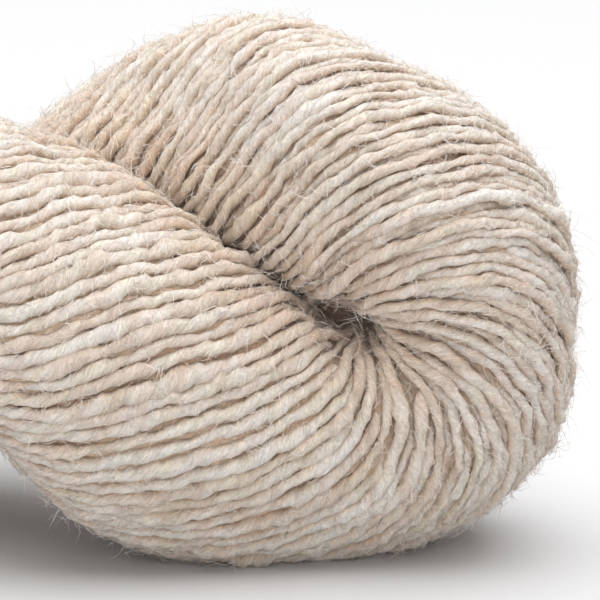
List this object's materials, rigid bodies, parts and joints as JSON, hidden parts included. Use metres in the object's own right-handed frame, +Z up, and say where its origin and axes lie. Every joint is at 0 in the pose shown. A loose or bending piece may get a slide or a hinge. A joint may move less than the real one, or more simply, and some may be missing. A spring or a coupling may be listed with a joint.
{
  "type": "twisted hank of shetland wool yarn",
  "caption": "Skein of undyed wool yarn, twisted, folded in half and wound on itself, with a round fold at one end and the loop tucked through itself at the other.",
  "frame": {"origin": "middle of the hank's box, on the surface it lies on", "axes": "+X along the hank toward its fold, +Y to its back, +Z up"},
  "size_m": [0.2486, 0.0638, 0.0678],
  "materials": {
    "wool": "matte, softly hairy two-ply wool in a heathered natural beige"
  },
  "bodies": {
    "root": {"hank": "wool"}
  },
  "joints": []
}
